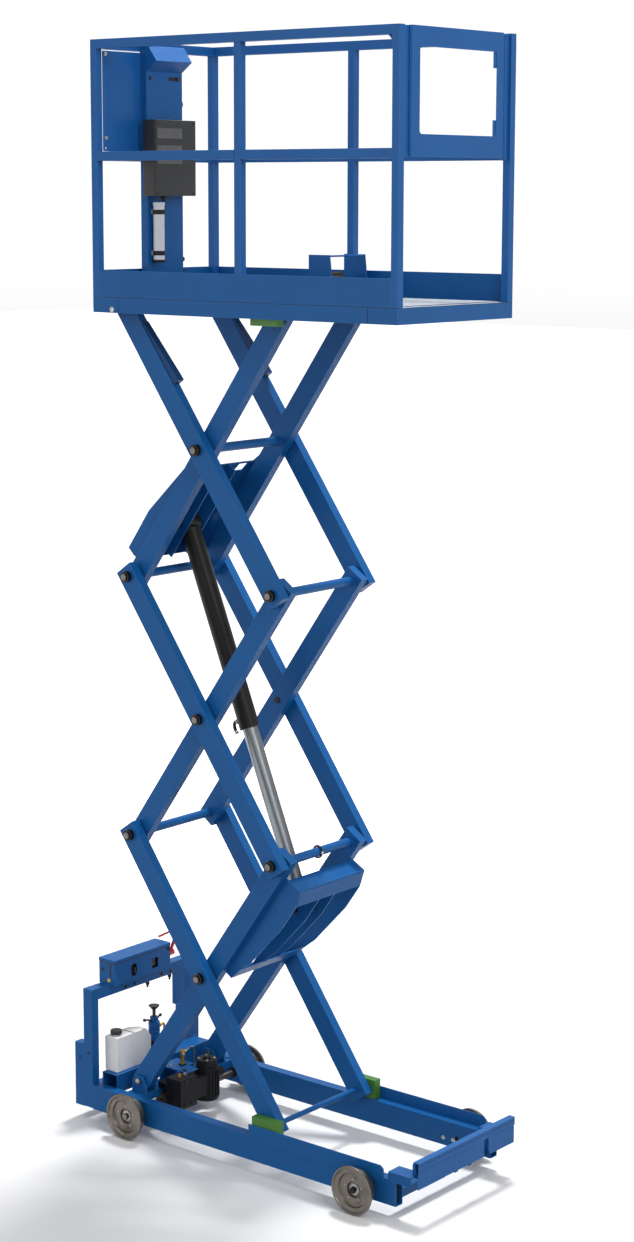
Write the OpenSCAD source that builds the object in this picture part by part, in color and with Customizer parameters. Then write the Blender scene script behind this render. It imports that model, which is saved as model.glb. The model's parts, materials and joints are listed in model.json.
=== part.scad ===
// Rail-wheeled scissor lift work platform, three scissor stages, raised.
// X runs forward, Z up, Y across. The origin is on the floor under the
// middle of the machine. Every length is in millimetres.

/* [Scissor] */
// Distance between the end pivots of an arm
arm_len = 1457; // [1400:1:1480]
// Angle of the arms above the floor in the raised position
raise_angle = 54.66; // [40:0.01:56]
// Depth of the arm tube
arm_depth = 95; // [80:1:96]
// Thickness of the arm tube across the machine
arm_thick = 45; // [40:1:46]
// Wall of the arm tube
arm_wall = 5; // [3:0.5:6]
// Length of arm beyond each end pivot
arm_tail = 45; // [40:1:48]
// Half distance between the inner faces of the inner arms
inner_arm_y = 220; // [210:1:224]
// Half distance between the inner faces of the outer arms
outer_arm_y = 276; // [272:1:278]
// Radius of the pivot pins
pin_r = 15; // [12:0.5:16]
// Radius of the bronze bushes that the outer arms turn on
bush_r = 20; // [19:0.5:22]
// Radius of the cross tubes
cross_r = 20; // [18:0.5:22]

/* [Platform] */
// Length of the platform
plat_len = 1682; // [1650:1:1690]
// Width of the platform
plat_w = 795; // [790:1:800]
// Height of the guard rail above the floor sheet
guard_h = 1100; // [1000:5:1150]
// Height of the toe boards
toe_h = 115; // [100:1:150]
// Side of the square post tube
post_w = 35; // [30:1:38]
// Height of the rail tube
rail_h = 40; // [30:1:42]
// Thickness of the gate sheet
gate_thick = 3; // [2:0.5:4]

/* [Chassis] */
// Rear pivots of the scissor, from the middle of the machine
rear_pivot_x = -678.3; // [-680:0.1:-676]
// Height of the base pivots above the floor
pivot_z = 222.7; // [222:0.1:224]
// Outer face of the side beams, from the middle
beam_out_y = 370; // [370:1:371]
// Inner face of the side beams, from the middle
beam_in_y = 322; // [322:1:323]
// Underside of the side beams
beam_z0 = 62; // [55:1:66]
// Top of the side beams
beam_z1 = 177; // [176:0.5:177]
// Radius of the wheel flange, and height of the axles
wheel_r = 108; // [108:1:108]
// Radius of the wheel tread
tread_r = 83; // [78:1:88]
// Outer face of the wheels, from the middle
wheel_out_y = 444; // [440:1:446]

/* [Cylinder] */
// Outer radius of the barrel
barrel_r = 46; // [44:1:48]
// Radius of the rod
rod_r = 35; // [30:1:38]
// Length of the barrel from its pin to its open end
barrel_len = 972; // [960:1:975]
// Upper pin along the arm from the rear joint, and above its centre line
cyl_top = [225, 60]; // [0:1:300]
// Lower pin along the arm from the base pivot, and above its centre line
cyl_low = [1186, -90]; // [-100:1:1200]

/* [Hidden] */
$fn = 48;
g = 0.2;                                  // weld gap between solids of one node
pc = 47.5;                                // platform centre along X
th = raise_angle;
sp = arm_len * cos(th);                   // span of one stage
st = arm_len * sin(th);                   // height of one stage
xr = rear_pivot_x;
xf = xr + sp;
xc = xr + sp / 2;
z0 = pivot_z;
zt = z0 + 3 * st;                         // platform pivot height
floor_z = zt + 52.5;                      // top of the floor sheet
frame_z = zt - 15.5;                      // underside of the platform frame
top_z = floor_z + guard_h;
px0 = pc - plat_len / 2;
px1 = pc + plat_len / 2;
py = plat_w / 2;
ao = outer_arm_y + arm_thick;             // outer face of the outer arms
ai = inner_arm_y + arm_thick;             // outer face of the inner arms
run = 0.05;                               // running clearance, radial
ne = arm_depth / 2;                       // radius of a rounded arm end
// cylinder geometry in the frame of the inner arms
cvx = cyl_top[0] - cyl_low[0] + arm_len * (1 - cos(2 * th));
cvz = cyl_top[1] - cyl_low[1] + arm_len * sin(2 * th);
cyl_len = sqrt(cvx * cvx + cvz * cvz);
cyl_ang = atan2(cvz, cvx);
post_in = py - post_w;
rail_z0 = top_z - rail_h;
mid_z0 = floor_z + 585;
rear_ax = -624.5;
front_ax = 710.5;

// ---------- helpers ----------
module bx(x0, x1, y0, y1, z0, z1) translate([x0, y0, z0]) cube([x1 - x0, y1 - y0, z1 - z0]);
module both() { children(); mirror([0, 1, 0]) children(); }
// cylinder along Y from y0 to y1
module cy(x, z, y0, y1, r) translate([x, y0, z]) rotate([-90, 0, 0]) cylinder(r = r, h = y1 - y0);
// tube along Y
module ty(x, z, y0, y1, r, ri) difference() { cy(x, z, y0, y1, r); cy(x, z, y0 - 1, y1 + 1, ri); }
// square tube along X, Y or Z with wall t
module rx(x0, x1, y0, y1, z0, z1, t) difference() { bx(x0, x1, y0, y1, z0, z1); bx(x0 - 1, x1 + 1, y0 + t, y1 - t, z0 + t, z1 - t); }
module ry(x0, x1, y0, y1, z0, z1, t) difference() { bx(x0, x1, y0, y1, z0, z1); bx(x0 + t, x1 - t, y0 - 1, y1 + 1, z0 + t, z1 - t); }
module rz(x0, x1, y0, y1, z0, z1, t) difference() { bx(x0, x1, y0, y1, z0, z1); bx(x0 + t, x1 - t, y0 + t, y1 - t, z0 - 1, z1 + 1); }
// profile in the XZ plane, given thickness from y0 to y1
module xz(pts, y0, y1) translate([0, y1, 0]) rotate([90, 0, 0]) linear_extrude(y1 - y0) polygon(pts);
// profile in the YZ plane, given thickness from x0 to x1
module yz(pts, x0, x1) translate([x0, 0, 0]) rotate([90, 0, 90]) linear_extrude(x1 - x0) polygon(pts);
// local frame of an inner arm of stage k (0 to 2): X along the arm from its rear pivot
module on_b(k) translate([xr, 0, z0 + k * st]) rotate([0, -th, 0]) children();
// local frame of an outer arm of stage k: X along the arm down from its rear upper pivot
module on_a(k) translate([xr, 0, z0 + (k + 1) * st]) rotate([0, th, 0]) children();

// one hollow arm with welded bosses; rb, rm and rt are the bores at the start, middle and end;
// round_start and round_end give an end that is round about its pivot in place of a square one
module arm(y, rb, rm, rt, round_start = false, round_end = false) {
  t0 = round_start ? 0 : arm_tail;
  t1 = round_end ? 0 : arm_tail;
  difference() {
    union() {
      difference() {
        union() {
          bx(-t0, arm_len + t1, y, y + arm_thick, -ne, ne);
          if (round_start) cy(0, 0, y, y + arm_thick, ne);
          if (round_end) cy(arm_len, 0, y, y + arm_thick, ne);
        }
        bx(-t0 + (round_start ? 0 : arm_wall), arm_len + t1 - (round_end ? 0 : arm_wall), y + arm_wall, y + arm_thick - arm_wall,
           -ne + arm_wall, ne - arm_wall);
      }
      for (x = [0, arm_len / 2, arm_len]) cy(x, 0, y + 1, y + arm_thick - 1, 30);
    }
    cy(0, 0, y - 1, y + arm_thick + 1, rb);
    cy(arm_len / 2, 0, y - 1, y + arm_thick + 1, rm);
    cy(arm_len, 0, y - 1, y + arm_thick + 1, rt);
  }
}
// pin through an inner and an outer arm, with its retaining collar
module pin_at(x) {
  cy(x, 0, ai - arm_thick - 5, ao + 27, pin_r);
  ty(x, 0, ao + 0.5, ao + 20, 25, pin_r + g);
}
// flanged bush in an outer arm
module bush_at(x, f = 10.5) difference() {
  union() {
    cy(x, 0, outer_arm_y, ao, bush_r);
    cy(x, 0, outer_arm_y - f, outer_arm_y, bush_r + 6);
  }
  cy(x, 0, outer_arm_y - 20, ao + 1, pin_r + run);
}

// ---------- chassis ----------
module side_beams() color([0.13, 0.35, 0.63]) both() difference() {
  rx(-889.5, 895.5, beam_in_y, beam_out_y, beam_z0, beam_z1, 4);
  cy(rear_ax, wheel_r, beam_in_y - 1, beam_out_y + 1, 24);
  cy(front_ax, wheel_r, beam_in_y - 1, beam_out_y + 1, 12.5);
}
module slide_guides() color([0.13, 0.35, 0.63]) both() {
  xz([[75.5, 157], [828, 157], [832, 161], [832, 216], [816, 230], [75.5, 230]], beam_out_y, beam_out_y + 5);
}
module rear_posts() color([0.12, 0.33, 0.6]) both() {
  rz(-944.5, -889.5, 325, beam_out_y, 65, 636, 4);
  bx(-944.5, -889.5, 325, beam_out_y, 636 + g, 640);
  rz(-1002.5, -944.5 - g, 325, beam_out_y, 63, 366, 4);
  bx(-1002.5, -944.5 - g, 325, beam_out_y, 366 + g, 370);
}
module rear_top_bar() color([0.13, 0.35, 0.63]) {
  bx(-893.5, -889.5, -325, 325, 585, 640);
  bx(-942, -893.5, -325, 325, 636, 640);
  bx(-893.5, -889.5, 214, 268, 420, 585 - g);
  bx(-920, -893.5 - g, 214, 218, 420, 585 - g);
}
module cross_members() color([0.12, 0.32, 0.58]) {
  ry(-722, -634.5, -beam_in_y, beam_in_y, 134, 172, 4);
  // shelf under the tank and the hand pump
  ry(-872, -778, -beam_in_y, beam_in_y, 150, 237.8, 3);
  // bracket over the drive
  bx(-716, -710, -100, 20, 172 + g, 244);
  bx(-710 + g, -604, -100, 20, 238, 244);
  bx(-605, -540, -100, -20, 238, 244);
  ry(-1000, -948, -325, 325, 90, 140, 4);
  ry(826, 866, -beam_in_y, beam_in_y, 70, 110, 4);
}
module pivot_brackets() color([0.13, 0.35, 0.63]) both() for (y = [205, 268]) difference() {
  xz([[-722, 172 + g], [-634.5, 172 + g], [-634.5, 205], [-656, 247], [-700, 247], [-722, 226]], y, y + 12);
  cy(xr, z0, y - 1, y + 13, pin_r);
}
module base_pins() color([0.75, 0.73, 0.7]) both() {
  cy(xr, z0, 198, 292, pin_r);
}
module bumper() color([0.15, 0.38, 0.67]) {
  // folded top rail, with a shorter step under it
  xz([[972, 236], [972, 277], [1002.5, 277], [1002.5, 240], [998, 236], [998, 271], [978, 271], [978, 236]], -350, 352);
  bx(996, 999, -350, -158, 157, 236 - g);
  yz([[180, 157], [352, 157], [352, 236 - g], [160, 236 - g], [160, 180], [165, 166]], 996, 999);
  bx(991, 994, -158 + g, 134, 155, 236 - g);
}
module bumper_brackets() color([0.13, 0.35, 0.63]) both() {
  bx(852, 972 - g, 290, 369, 205, 211);
  bx(852, 895.5, 363, 369, 177 + g, 205 - g);
  bx(895.5 + g, 972 - g, 363, 369, 168, 205 - g);
  bx(852, 972 - g, 290, 296, 180, 205 - g);
  bx(972 - 20, 972 - g, 290, 330, 211 + g, 258);
}
// plate behind the windows of the control box; the key switch turns in it
module switch_plate() difference() {
  bx(-872, -868, -253.8, 60, 645.2, 755.8);
  translate([-880, -126, 687]) rotate([0, 90, 0]) cylinder(r = 10, h = 20);
}
module control_box() color([0.16, 0.36, 0.62]) {
  switch_plate();
  difference() {
  bx(-947.5, -847.5, -258, 124, 640 + g, 760);
  bx(-943.5, -851.5, -254, 120, 645, 756);
  for (z = [676, 700]) translate([-855, -126, z]) rotate([0, 90, 0]) cylinder(r = 19, h = 20);
  bx(-855, -835, -145, -107, 676, 700);
  bx(-855, -835, -4, 40, 664, 712);
}
}
module oil_tank() color([0.88, 0.87, 0.85]) difference() {
  union() {
    translate([0, 0, 238]) linear_extrude(165) polygon([[-880.5, -293], [-802.5, -293], [-802.5, -62], [-822, -62], [-880.5, -140]]);
    translate([-845, -255, 403]) cylinder(r = 17, h = 6);
  }
  yz([[-96, 404], [-50, 404], [-50, 360], [-62, 360]], -895, -790);
  translate([0, 0, 242]) linear_extrude(120) polygon([[-876.5, -289], [-806.5, -289], [-806.5, -66], [-820, -66], [-876.5, -141]]);
  translate([0, 0, 350]) linear_extrude(49) polygon([[-876.5, -289], [-806.5, -289], [-806.5, -100], [-853, -100], [-876.5, -141]]);
  translate([-845, -255, 395]) cylinder(r = 14, h = 30);
}
module tank_cap() color([0.08, 0.08, 0.08]) difference() {
  translate([-845, -255, 409.2]) cylinder(r = 26, h = 20);
  translate([-845, -255, 400]) cylinder(r = 20, h = 12);
}
module hand_pump() color([0.13, 0.32, 0.58]) {
  difference() {
    union() {
      translate([-812.5, -30, 330]) cylinder(r = 27, h = 88);
      translate([-812.5, -30, 418]) cylinder(r = 20, h = 24);
      bx(-850, -790, -56, 8, 238, 330);
    }
    translate([-812.5, -30, 360]) cylinder(r = 8 + 0.1, h = 100);
  }
}
module pump_handle() color([0.1, 0.1, 0.1]) {
  translate([-812.5, -30, 384]) cylinder(r = 8, h = 100);
  translate([-812.5, -30, 478]) rotate_extrude() polygon([[0, 0], [10, 0], [26, 16], [26, 20], [0, 20]]);
}
module power_pack() color([0.07, 0.07, 0.08]) {
  bx(-588, -497, -190, -78, 95, 237.8);
  bx(-640, -588 - g, -190, -120, 176, 205);
}
module pump_motor() color([0.1, 0.1, 0.11]) {
  translate([-542, 40, 84]) cylinder(r = 56, h = 156 - g);
  translate([-542, 40, 240]) cylinder(r = 48, h = 38);
  translate([-542, 96.2, 190]) rotate([-90, 0, 0]) cylinder(r = 24, h = 44);
  bx(-592, -500, -78 + g, -8, 120, 215);
}
module axle_bearings() color([0.35, 0.35, 0.36]) both() {
  difference() {
    union() {
      cy(rear_ax, wheel_r, beam_in_y - 6, beam_out_y + 2, 24);
      cy(rear_ax, wheel_r, beam_out_y, beam_out_y + 9, 38);
    }
    cy(rear_ax, wheel_r, 300, 400, pin_r + run);
  }
  // cast housing round the rear axle
  difference() {
    union() {
      cy(rear_ax, wheel_r, 116, 184, 36);
      bx(-634, -588 - g, 128, 172, 84, 150);
    }
    cy(rear_ax, wheel_r, 100, 200, 17);
    bx(-700, -634.5 + g, 100, 200, 134 - g, 200);
  }
  // stub axle of the front wheel
  cy(front_ax, wheel_r, beam_in_y + 5, wheel_out_y - 8, 12.5);
}
module key_switch() color([0.1, 0.1, 0.1]) {
  translate([-876, -126, 687]) rotate([0, 90, 0]) cylinder(r = 9.95, h = 9);
  translate([-867, -126, 687]) rotate([0, 90, 0]) cylinder(r = 15, h = 8);
  bx(-859, -840, -129, -123, 673, 701);
}
module lowering_lever() color([0.75, 0.1, 0.08]) {
  difference() {
    cy(-864.5, 706, 124.3, 160, 14);
    cy(-864.5, 706, 120, 150, 4);
  }
  xz([[-870, 719], [-859, 719], [-818, 828], [-829, 832]], 144, 156);
  xz([[-829.2, 832], [-833, 822], [-942, 762], [-946, 772]], 144, 156);
}
module wheel_profile() rotate_extrude($fn = 96)
  polygon([[12.5 + run, -60], [30, -60], [30, -36], [tread_r - 10, -36], [tread_r - 10, -60], [tread_r, -60],
    [tread_r + 2, -16], [wheel_r - 3, -14], [wheel_r, -11], [wheel_r, -3], [wheel_r - 3, 0], [wheel_r - 9, 0],
    [wheel_r - 13, -8], [tread_r - 5, -10], [tread_r - 9, -20], [36, -20], [32, -28], [12.5 + run, -28]]);
module front_wheel_near() color([0.5, 0.47, 0.43]) translate([front_ax, -wheel_out_y, wheel_r]) rotate([90, 0, 0]) wheel_profile();
module front_wheel_far() color([0.5, 0.47, 0.43]) translate([front_ax, wheel_out_y, wheel_r]) rotate([-90, 0, 0]) wheel_profile();
module rear_wheels() color([0.5, 0.47, 0.43]) both() difference() {
  translate([rear_ax, wheel_out_y, wheel_r]) rotate([-90, 0, 0]) wheel_profile();
  cy(rear_ax, wheel_r, 300, 500, pin_r);
}
module rear_axle() color([0.6, 0.6, 0.6]) cy(rear_ax, wheel_r, -wheel_out_y + 8, wheel_out_y - 8, pin_r);

// ---------- scissor, stage 1 ----------
module b1_arms() color([0.15, 0.37, 0.66]) on_b(0) both() arm(inner_arm_y, pin_r + run, pin_r, pin_r, round_start = true);
module b1_cross_tube() color([0.15, 0.37, 0.66]) on_b(0) ty(arm_len, 0, -inner_arm_y, inner_arm_y, cross_r, cross_r - 3);
module b1_cylinder_mount() color([0.14, 0.36, 0.65]) on_b(0) {
  // side plates under the arms
  both() xz([[790, -47.7], [790, -86], [862, -103], [930, -125], [1190, -163], [1328, -163], [1409, -138], [1400, -47.7]], 222, 228);
  // end plate with its lip, and the small lip at the other end
  xz([[1409 - 6, -138], [1409, -138], [1400, -60], [1394, -60]], -222 + g, 222 - g);
  xz([[1335, -163], [1403 - g, -141], [1403 - g, -135], [1335, -157]], -222 + g, 222 - g);
  xz([[790, -50], [796, -50], [796, -86], [862, -98], [862, -103], [790, -86]], -222 + g, 222 - g);
  // ribs with the eye for the lower pin
  for (y = [-56, 50]) difference() {
    xz([[796 + g, -55], [796 + g, -86 + g], [862 + g, -97], [930, -120], [1190, -157], [1334, -157], [1334, -100], [1300, -60], [1186, -50]], y, y + 6);
    cy(cyl_low[0], cyl_low[1], y - 1, y + 7, 12);
  }
}
module b1_pins() color([0.12, 0.12, 0.12]) {
  on_b(0) both() { pin_at(arm_len / 2); pin_at(arm_len); }
  // stub bolts of the lower cylinder eye
  on_b(0) { cy(cyl_low[0], cyl_low[1], -70, -44, 12); cy(cyl_low[0], cyl_low[1], 44, 70, 12); }
}
module a1_arms() color([0.15, 0.37, 0.66]) on_a(0) both() arm(outer_arm_y, bush_r, bush_r, 12 + run);
module a1_bushes() color([0.62, 0.48, 0.24]) on_a(0) both() { bush_at(0); bush_at(arm_len / 2); }
module slider_block(x, z, r = 12) difference() {
  union() {
    bx(x - 75, x + 75, ao + 4, 368, z - 45.5, z + 45.5);
  }
  cy(x, z, ao - 1, 351, r);
}
module base_slider_blocks() color([0.22, 0.52, 0.16]) both() slider_block(xf, z0);
module base_slider_shaft() color([0.2, 0.42, 0.7]) cy(xf, z0, -350, 350, 12);

// ---------- stage 2 ----------
module a2_arms() color([0.15, 0.37, 0.66]) on_a(1) both() arm(outer_arm_y, bush_r, bush_r, bush_r);
module a2_bushes() color([0.62, 0.48, 0.24]) on_a(1) both() { bush_at(0); bush_at(arm_len / 2); bush_at(arm_len); }
module b2_arms() color([0.15, 0.37, 0.66]) on_b(1) both() arm(inner_arm_y, pin_r, pin_r, pin_r);
module b2_cross_tubes() color([0.15, 0.37, 0.66]) on_b(1) {
  ty(0, 0, -inner_arm_y, inner_arm_y, cross_r, cross_r - 3);
  ty(arm_len, 0, -inner_arm_y, inner_arm_y, cross_r, cross_r - 3);
}
module b2_pins() color([0.12, 0.12, 0.12]) on_b(1) both() { pin_at(0); pin_at(arm_len / 2); pin_at(arm_len); }

// ---------- stage 3 ----------
module a3_arms() color([0.15, 0.37, 0.66]) on_a(2) both() {
  arm(outer_arm_y, bush_r, bush_r, bush_r, round_start = true);
  xz([[96, 47.7], [104, 54], [398, 81], [424, 82], [424, 47.7]], outer_arm_y + 2, outer_arm_y + 40);
}
module a3_bushes() color([0.62, 0.48, 0.24]) on_a(2) both() { bush_at(0, 2.8); bush_at(arm_len / 2); bush_at(arm_len); }
module b3_arms() color([0.15, 0.37, 0.66]) on_b(2) both() arm(inner_arm_y, pin_r, pin_r, 12 + run, round_end = true);
module b3_cross_tubes() color([0.15, 0.37, 0.66]) on_b(2) {
  ty(0, 0, -inner_arm_y, inner_arm_y, cross_r, cross_r - 3);
  ty(arm_len / 2, 0, -inner_arm_y, inner_arm_y, cross_r, cross_r - 3);
}
module b3_cylinder_mount() color([0.14, 0.36, 0.65]) on_b(2) {
  both() xz([[46, 47.7], [44, 85], [52, 126], [270, 126], [560, 68], [620, 47.7]], 229, 235);
  // top sheet with its round and square openings
  difference() {
    xz([[52, 126], [270, 126], [560, 68], [560, 62], [270, 120], [52, 120]], -229 + g, 229 - g);
    translate([188, 175, 100]) cylinder(r = 30, h = 60);
    translate([500, 140, 40]) cube([50, 60, 80]);
  }
  xz([[44, 50], [50, 50], [50, 85], [58, 120 - g], [51, 120 - g], [44, 85]], -229 + g, 229 - g);
  for (y = [-60, 54]) difference() {
    xz([[64, 119.5], [270, 119.5], [560, 61.5], [560, 13], [64, 13]], y, y + 6);
    cy(cyl_top[0], cyl_top[1], y - 1, y + 7, pin_r);
  }
}
module b3_pins() color([0.12, 0.12, 0.12]) {
  on_b(2) both() { pin_at(0); pin_at(arm_len / 2); }
  on_b(2) cy(cyl_top[0], cyl_top[1], -70, 70, pin_r);
}
module top_sliders() color([0.22, 0.52, 0.16]) {
  both() slider_block(xf, zt, 12 + run);
  cy(xf, zt, -350, 350, 12);
}

// ---------- hydraulic cylinder ----------
// local frame: X from the lower pin up to the upper pin
module on_cyl() on_b(2) translate([cyl_top[0], 0, cyl_top[1]]) rotate([0, -cyl_ang, 0]) children();
module tube_x(x0, x1, r, ri) difference() {
  translate([x0, 0, 0]) rotate([0, 90, 0]) cylinder(r = r, h = x1 - x0);
  translate([x0 - 1, 0, 0]) rotate([0, 90, 0]) cylinder(r = ri, h = x1 - x0 + 2);
}
module cylinder_barrel() color([0.1, 0.1, 0.11]) on_cyl() difference() {
  union() {
    cy(0, 0, -44, 44, 38);
    translate([-barrel_len, 0, 0]) rotate([0, 90, 0]) cylinder(r = barrel_r, h = barrel_len - 30);
    // oil port
    translate([-barrel_len + 45, 0, barrel_r - 4]) cylinder(r = 12, h = 15);
  }
  cy(0, 0, -50, 50, pin_r + run);
  // bore for the piston, and the guide for the rod at the open end
  translate([-barrel_len + 30, 0, 0]) rotate([0, 90, 0]) cylinder(r = barrel_r - 5, h = barrel_len - 105);
  translate([-barrel_len - 1, 0, 0]) rotate([0, 90, 0]) cylinder(r = rod_r + run, h = 40);
}
module cylinder_rod() color([0.55, 0.56, 0.56]) on_cyl() {
  translate([-cyl_len + 20, 0, 0]) rotate([0, 90, 0]) cylinder(r = rod_r, h = cyl_len - barrel_len + 30);
  difference() {
    cy(-cyl_len, 0, -40, 40, 30);
    cy(-cyl_len, 0, -50, 50, 12.5);
  }
}
module cylinder_piston() color([0.4, 0.4, 0.4]) on_cyl()
  translate([-barrel_len + 50 + g, 0, 0]) rotate([0, 90, 0]) cylinder(r = barrel_r - 5 - run, h = 40);

// ---------- platform ----------
module platform_frame() color([0.13, 0.36, 0.64]) {
  both() difference() {
    bx(px0 + 6, px1 - 6, py - 6, py, frame_z, floor_z - 4);
    cy(xr, zt, py - 10, py + 1, pin_r);
  }
  both() difference() {
    bx(xr - 40, xr + 40, 267, 273, zt - 30, floor_z - 4);
    cy(xr, zt, 260, 280, pin_r);
  }
  // pivot pins of the platform
  both() cy(xr, zt, 262, py + 3, pin_r);
  // outer guides of the top sliders
  both() bx(40, px1 - 8, 368.5, 373, zt - 12, floor_z - 4);
  bx(px0, px0 + 6 - g, -py, py, frame_z, floor_z - 4);
  bx(px1 - 6 + g, px1, -py, py, frame_z, floor_z - 4);
  // floor stiffeners
  both() bx(px0 + 6, px1 - 6, 90, 120, floor_z - 24, floor_z - 4);
}
module platform_floor() color([0.5, 0.52, 0.55]) {
  bx(px0, px1, -py, py, floor_z - 4, floor_z);
  tread_plate();
}
// tread plate on the floor sheet, clear of the posts, the column and the pedal
module tread_plate()
  translate([0, 0, floor_z + g]) linear_extrude(3 - g) polygon([[-640, -355], [845, -355], [845, 355], [180, 355], [180, 80], [10, 80], [10, 355], [-640, 355]]);
module toe_boards() color([0.13, 0.36, 0.64]) {
  both() bx(px0 + post_w, px1 - post_w, py - 3, py, floor_z, floor_z + toe_h);
  bx(px0, px0 + 3, -py + post_w, py - post_w, floor_z, floor_z + toe_h);
}
module guard_posts() color([0.15, 0.38, 0.67]) {
  both() {
    for (x = [px0, px1 - post_w]) rz(x, x + post_w, post_in, py, floor_z, rail_z0, 2.5);
    rz(pc - 20.5, pc + 14.5, post_in - 3, py - 3, floor_z, rail_z0, 2.5);
  }
  gate_hinge();
}
module guard_rails() color([0.15, 0.38, 0.67]) {
  both() difference() {
    bx(px0, px1, post_in, py, rail_z0, top_z);
    bx(px0 + 2.5, px1 - 2.5, post_in + 2.5, py - 2.5, rail_z0 + 2.5, top_z - 2.5);
  }
  ry(px0, px0 + post_w, -post_in + g, post_in - g, rail_z0, top_z, 2.5);
  both() rx(px0 + post_w, pc - 20.5, post_in, py, mid_z0, mid_z0 + rail_h, 2.5);
  both() rx(pc + 14.5, px1 - post_w, post_in, py, mid_z0, mid_z0 + rail_h, 2.5);
  ry(px0, px0 + post_w, -post_in, post_in, mid_z0, mid_z0 + rail_h, 2.5);
  // small corner gussets under the top rail
  both() xz([[px1 - post_w - g, rail_z0 - g], [px1 - post_w - g, rail_z0 - 32], [px1 - post_w - 32, rail_z0 - g]], py - 20, py - 15);
}
module gate() color([0.16, 0.4, 0.7]) {
  difference() {
    bx(px1 - gate_thick, px1, -318, 308, top_z - 508, top_z);
    // window with rounded corners
    bx(px1 - 10, px1 + 1, -262, 261, top_z - 404, top_z - 95);
    bx(px1 - 10, px1 + 1, -247, 246, top_z - 419, top_z - 80);
    for (y = [-247, 246]) for (z = [top_z - 404, top_z - 95]) translate([px1 - 10, y, z]) rotate([0, 90, 0]) cylinder(r = 15, h = 11);
  }
  // latch side tube, set back behind the sheet
  difference() {
    bx(px1 - 35, px1 - 10, -361.5, -319, top_z - 508, top_z - 2);
    bx(px1 - 33, px1 - 12, -359.5, -321, top_z - 509, top_z - 4);
  }
  bx(px1 - 35, px1 - gate_thick - g, -319 + g, -290, top_z - 470, top_z - 450);
  bx(px1 - 35, px1 - gate_thick - g, -319 + g, -290, top_z - 60, top_z - 40);
  // hinge tube over the whole height, its strap, and two tabs that show in the window
  difference() {
    union() {
      translate([px1 - 15, 335, top_z - 508]) cylinder(r = 11, h = 494);
      bx(px1 - 14, px1 - 11, 296, 335, top_z - 508, top_z - 14);
      bx(px1 - 11, px1 - gate_thick - g, 296, 304, top_z - 508, top_z - 14);
    }
    translate([px1 - 15, 335, top_z - 509]) cylinder(r = 5, h = 496);
  }
  for (z = [top_z - 145, top_z - 419]) bx(px1 - 9, px1 - gate_thick - g, 246, 295, z, z + 65);
}
// hinge pin of the gate with its two lugs and the strip that closes the gap to the post
module gate_hinge() {
  translate([px1 - 15, 335, top_z - 516]) cylinder(r = 5 - run, h = 510);
  bx(px1 - 25, px1 - 5, 325, 348, top_z - 516, top_z - 509);
  bx(px1 - 25, px1 - 5, 325, 348, top_z - 13, top_z - 6);
  bx(px1 - 33, px1 - 12, 348, post_in - g, top_z - 516, top_z - 6);
}
module back_panel() color([0.16, 0.4, 0.7]) difference() {
  bx(px0 + post_w + 1, px0 + post_w + 4, -355, -126, mid_z0 + 42, rail_z0 - 6);
  for (z = [mid_z0 + 55, rail_z0 - 20]) translate([px0, -345, z]) rotate([0, 90, 0]) cylinder(r = 4, h = 60);
}
module control_column() color([0.14, 0.37, 0.65]) difference() {
  bx(px0 + post_w + 1, -718.5, -124, 108, floor_z, top_z - 17);
  bx(px0 + post_w + 4, -721.5, -121, 105, floor_z - 1, top_z - 20);
  translate([-730, -100, top_z - 155]) rotate([0, 90, 0]) cylinder(r = 9, h = 20);
  bx(-725, -715, 20, 96, top_z - 162, top_z - 146);
  // opening for the stem of the stop button
  translate([-750, 100, top_z - 262]) rotate([-90, 0, 0]) cylinder(r = 10.6, h = 12);
}
module column_hood() color([0.2, 0.46, 0.76]) difference() {
  xz([[-718.3, top_z - 17], [-705.5, top_z - 17], [-657.5, top_z - 82], [-718.3, top_z - 126]], -124, 108);
  xz([[-719, top_z - 20], [-706.5, top_z - 20], [-661.5, top_z - 81], [-719, top_z - 121]], -121, 105);
}
module platform_control_box() color([0.06, 0.06, 0.07]) {
  bx(-718.3, -648, -150, 110, top_z - 665, top_z - 335);
  bx(-648 + g, -640, -150, 110, top_z - 478, top_z - 335);
  bx(-648 + g, -640, -150, 110, top_z - 665, top_z - 484);
}
module document_tube() color([0.85, 0.86, 0.88]) {
  difference() {
    translate([-690, -82, floor_z + 145]) cylinder(r = 25, h = 248);
    translate([-690, -82, floor_z + 149]) cylinder(r = 22, h = 250);
  }
  translate([-690, -82, floor_z + 393 + g]) cylinder(r = 27, h = 14);
  for (z = [floor_z + 175, floor_z + 355]) bx(-718.3, -712, -100, -64, z, z + 20);
}
module pedal_guard() color([0.12, 0.3, 0.55]) {
  for (y = [95, 339]) xz([[25.5, floor_z], [164, floor_z], [142, floor_z + 187], [25.5, floor_z + 187]], y, y + 6);
  cy(136, floor_z + 182, 101 + g, 339 - g, 4);
  bx(25.5, 150, 101 + g, 339 - g, floor_z, floor_z + 3);
}
module foot_pedal() color([0.08, 0.08, 0.08]) {
  xz([[52, floor_z + 96], [60, floor_z + 112], [132, floor_z + 30], [124, floor_z + 22]], 160, 280);
  cy(128, floor_z + 21, 150, 290, 7);
}
module stop_button() color([0.05, 0.05, 0.05]) {
  translate([-750, 108.3, top_z - 262]) rotate([-90, 0, 0]) cylinder(r = 10, h = 10);
  translate([-750, 118.3, top_z - 262]) rotate([-90, 0, 0]) cylinder(r = 17, h = 12);
}

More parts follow.
